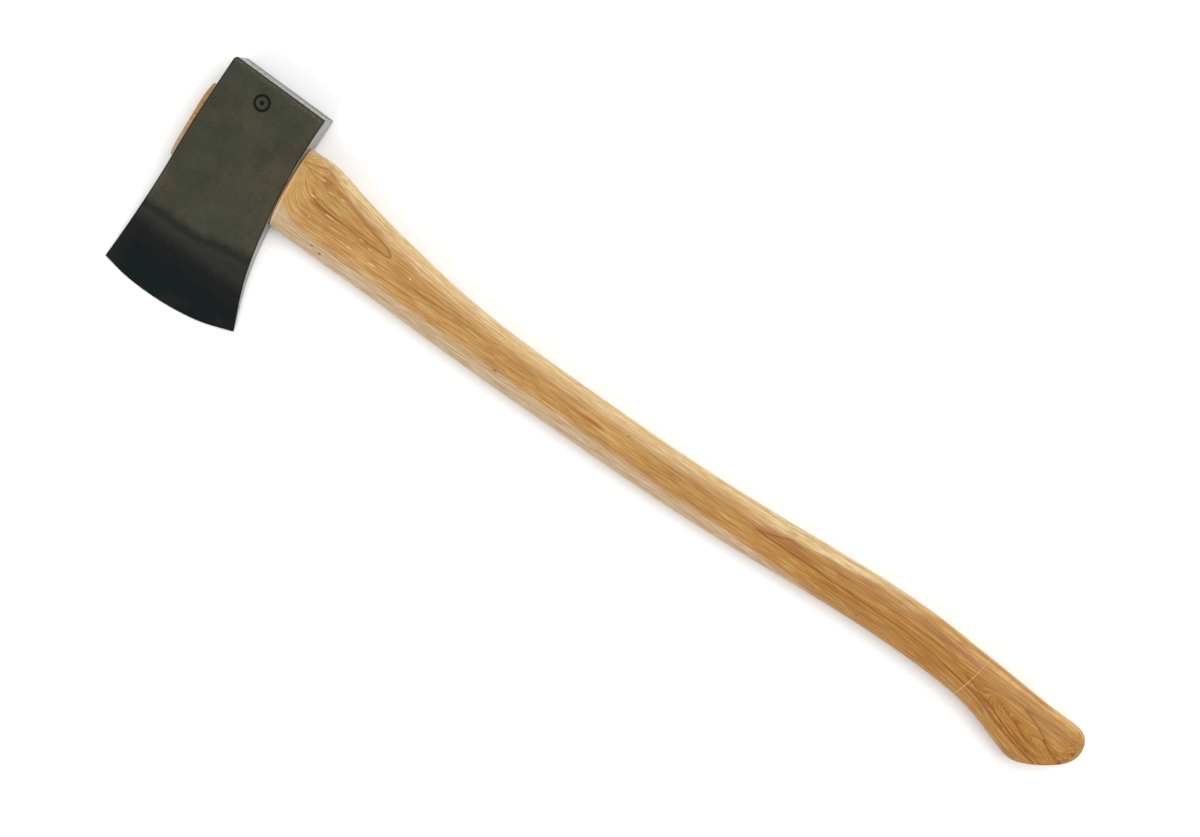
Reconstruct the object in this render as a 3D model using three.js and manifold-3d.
// A single-bit felling axe, about 910 mm long, lying on its side: a forged steel head on a curved
// hickory handle, held by a wooden wedge in the handle's kerf and a steel step wedge driven across it.
//
// Millimetres. Every piece is first laid out in the axe's own frame: +X along the eye from the head
// towards the butt, +Y towards the poll, +Z out of one cheek, origin at the middle of the eye.
// The last lines then lay the finished axe down on z = 0.

import * as THREE from "three";
import { mergeVertices } from "three/addons/utils/BufferGeometryUtils.js";
import Module from "manifold-3d";

const wasm = await Module();
wasm.setup();

// ---------------------------------------------------------------- driving dimensions

const clearance = 0.3; // between two pieces that touch

// Head outline: x along each side of the cheek at a distance y from the eye's middle.
const topSideLine = [
  [66, -42.8],
  [30, -43.6],
  [-15, -44.4],
  [-50, -44.2],
  [-80, -44.9],
  [-110, -46.4],
  [-139.2, -48.5],
];
const handleSideLine = [
  [66, 48.7],
  [40, 48.4],
  [15, 49.0],
  [-5, 49.8],
  [-22, 51.2],
  [-40, 53.7],
  [-65, 57.8],
  [-90, 63.7],
  [-129.8, 78],
];
const pollMiddle = new THREE.Vector2(2.9, 64.9);
const pollSlope = -0.0215; // the poll falls slightly towards the handle side
// Cutting edge: y at x, from the toe to the heel.
const bitLine = [
  [-48.5, -139.2],
  [-25, -143.5],
  [0, -144.7],
  [25, -143.3],
  [50, -139.1],
  [78, -129.8],
];

// Head thickness at a distance from the cutting edge: thin bit, full cheeks beside the eye.
const thicknessFromEdge = [
  [0, 0.8],
  [11, 3.3],
  [22, 5.7],
  [35, 8.3],
  [51, 11.1],
  [71, 14.5],
  [99, 19.0],
  [121, 23.5],
  [142, 28.2],
  [160, 29.4],
  [185, 29.5],
  [208, 28.8],
];
const cheekCrown = 0.06; // the bit is this share thinner at toe and heel than in its middle
const headChamfer = 0.9;
const leastChamfer = 0.2; // what stays of the chamfer at the poll's own edge
const pollCornerRadius = 4; // the poll's corner at the head's top

// Handle: each row joins a point of the poll-side edge to one of the bit-side edge.
// [poll-side x, poll-side y, bit-side x, bit-side y, thickness, hollow]
// The hollow, left out where it is 0, pulls the row's middle back so that the shoulder follows the head.
const tongueRows = [
  [-49.7, 28.5, -47.5, -30.5, 15.4],
  [-49.0, 31.8, -47.0, -33.4, 17.6],
  [-47.8, 34.0, -46.0, -35.0, 19.2],
  [-44.0, 35.2, -43.5, -35.8, 20.0],
  [0.0, 34.6, 0.0, -34.8, 18.8],
  [48.6, 34.0, 53.2, -34.2, 17.8, 1.0],
];
const bodyRows = [
  [48.8, 35.5, 53.4, -36.4, 23.2, 1.0],
  [49.5, 35.9, 54.8, -36.7, 25.2],
  [60, 36.4, 64, -37.1, 25.8],
  [74, 36.3, 77, -37.5, 26.0],
  [90, 33.1, 92, -37.7, 25.8],
  [110, 28.1, 111, -38.0, 25.6],
  [135, 23.0, 135, -38.0, 25.4],
  [165, 17.8, 165, -38.3, 25.2],
  [200, 12.3, 200, -39.2, 25.0],
  [245, 7.2, 245, -40.1, 24.8],
  [295, 4.9, 295, -40.5, 24.6],
  [345, 4.3, 345, -40.3, 24.5],
  [395, 4.2, 395, -40.1, 24.5],
  [445, 4.6, 445, -39.2, 24.5],
  [495, 6.4, 495, -37.3, 24.4],
  [545, 9.2, 545, -34.4, 24.3],
  [595, 12.9, 595, -30.7, 24.3],
  [640, 15.9, 640, -28.0, 24.6],
  [680, 16.9, 680, -27.0, 25.0],
  [712, 16.0, 712, -27.4, 25.6],
  [740, 14.1, 738, -28.8, 26.4],
  [766, 12.5, 758, -31.3, 27.4],
  [790, 10.6, 775, -35.6, 28.4],
  [812, 8.9, 789, -40.1, 29.2],
  [831, 8.1, 800, -43.7, 29.8],
  [845, 7.7, 808.5, -46.4, 30.0],
  [853.5, 5.4, 813.2, -47.3, 29.6],
  [859, -0.8, 816.5, -47.3, 28.8],
  [860.9, -9.3, 819.0, -46.8, 27.8],
  [859.6, -16.4, 821.4, -45.9, 26.2],
  [856.4, -21.4, 823.6, -44.7, 24.4],
  [851.8, -25.7, 826.1, -43.2, 21.6],
];
const tongueEndRows = 3; // the first rows are the tongue's rounded end
const eyeRunOut = 66; // the eye's cutter reaches this far along X on both sides
const tongueRoundness = 2.7; // superellipse exponents: 2 is an ellipse, higher is squarer
const bodyRoundness = 2.25;

// Wooden wedge: a tapered board that fills the kerf from the tongue's end into the eye.
const kerfWedge = { outerX: -56, tipX: 14, outerThickness: 6.0, tipThickness: 1.6, halfWidth: 40 };
const kerfDepthPastWedge = 4;

// Steel wedge: stepped on both faces so that it can't work out, driven across the wooden one.
const stepWedge = {
  width: 24,
  depth: 32,
  outerThickness: 3.4,
  tipThickness: 0.9,
  steps: 4,
  stepHeight: 0.35,
  stepEdge: 0.05, // half of the depth over which a step springs back
};
const stepSlotMouth = 4; // the slot's cutter starts this far outside the tongue's end
const stepWedgeTurn = THREE.MathUtils.degToRad(40); // from the kerf's line
const stepWedgeMiddleY = 2;
const stepWedgeRecess = 0.4; // its end lies this far below the tongue's

// Lying pose: the full part of the cheek, the bit and the knob all touch the ground.
const rollAngle = THREE.MathUtils.degToRad(5.33);
const pitchAngle = THREE.MathUtils.degToRad(-0.2);

const sectionPoints = 24; // round the handle
const cheekColumns = 14; // across one cheek
const pollDepths = [0, headChamfer / 2, headChamfer, 2, 3, pollCornerRadius]; // loft rings round the poll
const headSteps = 26; // loft steps from there to the cutting edge
const rowSteps = 3; // loft steps between two handle rows

// ---------------------------------------------------------------- geometry helpers

// A smooth curve value(t) through [t, value] points, with each inner slope the mean of its two chords.
function smoothCurve(points) {
  const rising = points[0][0] < points.at(-1)[0] ? points : [...points].reverse();
  const last = rising.length - 1;
  const chord = (i) => (rising[i + 1][1] - rising[i][1]) / (rising[i + 1][0] - rising[i][0]);
  const slope = (i) => {
    if (i === 0) return chord(0);
    if (i === last) return chord(last - 1);
    return (chord(i - 1) + chord(i)) / 2;
  };
  return (t) => {
    let i = 0;
    while (i < last - 1 && t > rising[i + 1][0]) i += 1;
    const span = rising[i + 1][0] - rising[i][0];
    const s = THREE.MathUtils.clamp((t - rising[i][0]) / span, 0, 1);
    const rise = 3 * s * s - 2 * s * s * s;
    const start = s * (1 - s) * (1 - s) * span * slope(i);
    const end = s * s * (s - 1) * span * slope(i + 1);
    return rising[i][1] * (1 - rise) + rising[i + 1][1] * rise + start + end;
  };
}

// A closed body through rings of points. Each ring's first half lies on the +Z side and its second half
// comes back on the -Z side, turning counterclockwise about the direction in which the rings advance.
function loft(rings) {
  const count = rings[0].length;
  const positions = rings.flat().flatMap((point) => point.toArray());
  const triangles = [];
  for (let k = 0; k < rings.length - 1; k += 1) {
    for (let i = 0; i < count; i += 1) {
      const next = (i + 1) % count;
      const a = k * count + i;
      const b = k * count + next;
      triangles.push(a, b, b + count, a, b + count, a + count);
    }
  }
  const end = (rings.length - 1) * count;
  for (let i = 0; i < count / 2 - 1; i += 1) {
    const opposite = count - 1 - i;
    triangles.push(i, opposite, opposite - 1, i, opposite - 1, i + 1);
    triangles.push(end + i, end + opposite - 1, end + opposite, end + i, end + i + 1, end + opposite - 1);
  }
  const geometry = new THREE.BufferGeometry();
  geometry.setAttribute("position", new THREE.Float32BufferAttribute(positions, 3));
  geometry.setIndex(triangles);
  return geometry;
}

function solidOf(geometry) {
  const merged = mergeVertices(geometry, 1e-4);
  return new wasm.Manifold(
    new wasm.Mesh({
      numProp: 3,
      vertProperties: merged.getAttribute("position").array,
      triVerts: new Uint32Array(merged.index.array),
    }),
  );
}

function geometryOf(solid) {
  const mesh = solid.getMesh();
  const geometry = new THREE.BufferGeometry();
  geometry.setAttribute("position", new THREE.Float32BufferAttribute(mesh.vertProperties, 3));
  geometry.setIndex(new THREE.Uint32BufferAttribute(mesh.triVerts, 1));
  return geometry;
}

// A superellipse ring between a poll-side point and a bit-side point, made larger all round by grow.
function handleRing([pollX, pollY, bitX, bitY, thickness, hollow = 0], roundness, grow = 0) {
  const middle = new THREE.Vector3((pollX + bitX) / 2, (pollY + bitY) / 2, 0);
  const towardsPoll = new THREE.Vector3(pollX - bitX, pollY - bitY, 0);
  const halfWidth = towardsPoll.length() / 2 + grow;
  const halfThickness = thickness / 2 + grow;
  towardsPoll.normalize();
  const ring = [];
  for (let i = 0; i < sectionPoints; i += 1) {
    const angle = ((i + 0.5) * 2 * Math.PI) / sectionPoints;
    const across = Math.sign(Math.cos(angle)) * Math.abs(Math.cos(angle)) ** (2 / roundness);
    const up = Math.sign(Math.sin(angle)) * Math.abs(Math.sin(angle)) ** (2 / roundness);
    const point = middle.clone().addScaledVector(towardsPoll, across * halfWidth);
    point.x -= hollow * (1 - across * across);
    point.z = up * halfThickness;
    ring.push(point);
  }
  return ring;
}

// Handle rows joined by smooth curves, with extra rows between them.
function refinedRows(rows) {
  const curves = rows[0].map((_, column) => smoothCurve(rows.map((row, i) => [i, row[column] ?? 0])));
  const refined = [];
  for (let step = 0; step <= (rows.length - 1) * rowSteps; step += 1) {
    refined.push(curves.map((curve) => curve(step / rowSteps)));
  }
  return refined;
}

// ---------------------------------------------------------------- head

const topSideX = smoothCurve(topSideLine);
const handleSideX = smoothCurve(handleSideLine);
const headThickness = smoothCurve(thicknessFromEdge);

const pollY = (x) => pollMiddle.y + (x - pollMiddle.x) * pollSlope;
const bitY = smoothCurve(bitLine);
const headLength = pollMiddle.y - bitY(0);

// The outline's four corners: x at the poll, then at the cutting edge's toe and heel.
const pollTopX = topSideLine[0][1];
const pollHandleX = handleSideLine[0][1];
const toeX = topSideLine.at(-1)[1];
const heelX = handleSideLine.at(-1)[1];

// How far the outline pulls in, close behind the poll face: the rounded top corner, and the chamfer.
function cornerInset(depth) {
  const rest = Math.max(0, pollCornerRadius - depth);
  return pollCornerRadius - Math.sqrt(pollCornerRadius ** 2 - rest ** 2);
}
const chamferInset = (depth) => Math.max(0, headChamfer - depth);

// One ring round the head, a share of the way from the poll face (0) to the cutting edge (1).
function headRing(share) {
  const depth = share * headLength;
  const yBetween = (pollX, edgeX) => THREE.MathUtils.lerp(pollY(pollX), bitY(edgeX), share);
  const inset = chamferInset(depth);
  const left = topSideX(yBetween(pollTopX, toeX)) + cornerInset(depth);
  const right = handleSideX(yBetween(pollHandleX, heelX)) - inset;
  const thinnest = headThickness(headLength - depth);
  const leg = Math.min(Math.max(leastChamfer, headChamfer - inset), thinnest / 4);
  const cheek = [];
  for (let i = 0; i <= cheekColumns; i += 1) {
    const column = 1 - i / cheekColumns;
    const edgeX = THREE.MathUtils.lerp(toeX, heelX, column);
    const y = yBetween(THREE.MathUtils.lerp(pollTopX, pollHandleX, column), edgeX);
    const crown = 1 - cheekCrown * share * (2 * column - 1) ** 2;
    const z = (headThickness(y - bitY(edgeX)) * crown) / 2 - inset;
    cheek.push({ x: THREE.MathUtils.lerp(left + leg, right - leg, column), y, z });
  }
  const handleCorner = { ...cheek[0], x: right, z: cheek[0].z - leg };
  const topCorner = { ...cheek.at(-1), x: left, z: cheek.at(-1).z - leg };
  const near = [handleCorner, ...cheek, topCorner];
  const far = near.toReversed().map((point) => ({ ...point, z: -point.z }));
  return [...near, ...far].map((point) => new THREE.Vector3(point.x, point.y, point.z));
}

function headBlank() {
  const depths = [...pollDepths];
  const bodyLength = headLength - pollDepths.at(-1);
  for (let i = 1; i <= headSteps; i += 1) {
    depths.push(pollDepths.at(-1) + (bodyLength * i) / headSteps);
  }
  return solidOf(loft(depths.map((depth) => headRing(depth / headLength))));
}

// The eye follows the full tongue with clearance, and runs out past both sides of the head.
function eyeCutter() {
  const inside = tongueRows.slice(tongueEndRows);
  const outside = (row, x) => [x, row[1], x, row[3], row[4]];
  const rows = [outside(inside[0], -eyeRunOut), ...inside, outside(inside.at(-1), eyeRunOut)];
  return solidOf(loft(rows.map((row) => handleRing(row, tongueRoundness, clearance))));
}

// ---------------------------------------------------------------- handle and wedges

function handleBlank() {
  const tongue = tongueRows.map((row) => handleRing(row, tongueRoundness));
  const body = refinedRows(bodyRows).map((row) => handleRing(row, bodyRoundness));
  return solidOf(loft([...tongue, ...body]));
}

// A tapered board lying along Y, from its outer end to its tip.
function board(outerX, tipX, outerThickness, tipThickness, halfWidth) {
  const ring = (x, thickness) => [
    new THREE.Vector3(x, halfWidth, thickness / 2),
    new THREE.Vector3(x, -halfWidth, thickness / 2),
    new THREE.Vector3(x, -halfWidth, -thickness / 2),
    new THREE.Vector3(x, halfWidth, -thickness / 2),
  ];
  return solidOf(loft([ring(outerX, outerThickness), ring(tipX, tipThickness)]));
}

function kerfWedgeBlank() {
  const { outerX, tipX, outerThickness, tipThickness, halfWidth } = kerfWedge;
  return board(outerX, tipX, outerThickness, tipThickness, halfWidth);
}

function kerfCutter() {
  const { outerX, tipX, outerThickness, tipThickness, halfWidth } = kerfWedge;
  const grow = 2 * clearance;
  return board(outerX, tipX + kerfDepthPastWedge, outerThickness + grow, tipThickness + grow, halfWidth);
}

// The tongue's end is cut at a slant: its x at a distance y from the eye's middle.
function tongueEndX(y) {
  const [pollEndX, pollEndY, bitEndX, bitEndY] = tongueRows[0];
  return pollEndX + ((y - pollEndY) * (bitEndX - pollEndX)) / (bitEndY - pollEndY);
}

// One ring of the steel wedge, a depth below the tongue's end.
function stepWedgeRing(depth, thickness, width) {
  const along = new THREE.Vector3(0, Math.cos(stepWedgeTurn), Math.sin(stepWedgeTurn));
  const across = new THREE.Vector3(0, -Math.sin(stepWedgeTurn), Math.cos(stepWedgeTurn));
  const corners = [
    [1, 1],
    [-1, 1],
    [-1, -1],
    [1, -1],
  ];
  return corners.map(([alongSide, acrossSide]) => {
    const point = new THREE.Vector3(0, stepWedgeMiddleY, 0);
    point.addScaledVector(along, (alongSide * width) / 2);
    point.addScaledVector(across, (acrossSide * thickness) / 2);
    point.x = tongueEndX(point.y) + depth;
    return point;
  });
}

// Each step narrows towards the tip by more than the taper, then springs back out to it.
function stepWedgeSolid() {
  const { width, depth, outerThickness, tipThickness, steps, stepHeight, stepEdge } = stepWedge;
  const thicknessAt = (share) => THREE.MathUtils.lerp(outerThickness, tipThickness, share);
  const rings = [];
  for (let step = 0; step < steps; step += 1) {
    const from = step / steps;
    const to = (step + 1) / steps;
    const shoulder = stepHeight * (1 - from);
    const startDepth = stepWedgeRecess + depth * from + stepEdge;
    const endDepth = stepWedgeRecess + depth * to - stepEdge;
    rings.push(stepWedgeRing(startDepth, thicknessAt(from), width));
    rings.push(stepWedgeRing(endDepth, thicknessAt(to) - shoulder, width));
  }
  return solidOf(loft(rings));
}

// The slot that the steel wedge forces open, a little larger than the wedge.
function stepWedgeCutter() {
  const { width, depth, outerThickness, tipThickness } = stepWedge;
  const grow = 2 * clearance;
  const outside = stepWedgeRing(-stepSlotMouth, outerThickness + grow, width + grow);
  const mouth = stepWedgeRing(stepWedgeRecess, outerThickness + grow, width + grow);
  const tip = stepWedgeRing(stepWedgeRecess + depth + clearance, tipThickness + grow, width + grow);
  return solidOf(loft([outside, mouth, tip]));
}

// ---------------------------------------------------------------- materials

function steel(colour, roughness) {
  return new THREE.MeshStandardMaterial({ color: colour, roughness, metalness: 0.85 });
}

function wood(colour, roughness) {
  return new THREE.MeshStandardMaterial({ color: colour, roughness, metalness: 0 });
}

// ---------------------------------------------------------------- assembly

function namedMesh(name, solid, material) {
  const mesh = new THREE.Mesh(geometryOf(solid), material);
  mesh.name = name;
  return mesh;
}

const blank = handleBlank();
const steelSlot = stepWedgeCutter();

const head = headBlank().subtract(eyeCutter());
const handle = blank.subtract(kerfCutter()).subtract(steelSlot);
const woodenWedge = blank.intersect(kerfWedgeBlank()).subtract(steelSlot);

const axe = new THREE.Group();
axe.add(namedMesh("axe_head", head, steel(0x43453e, 0.5)));
axe.add(namedMesh("handle", handle, wood(0xc89b5f, 0.4)));
axe.add(namedMesh("kerf_wedge", woodenWedge, wood(0xb98550, 0.6)));
axe.add(namedMesh("step_wedge", stepWedgeSolid(), steel(0x8c8c8a, 0.45)));

// Laid down: rolled on to the cutting edge, pitched on to the knob, and centred on the ground.
axe.rotation.set(rollAngle, pitchAngle, 0);
const box = new THREE.Box3().setFromObject(axe, true);
axe.position.set(-(box.min.x + box.max.x) / 2, -(box.min.y + box.max.y) / 2, -box.min.z);

const lyingAxe = new THREE.Group();
lyingAxe.add(axe);

export default lyingAxe;
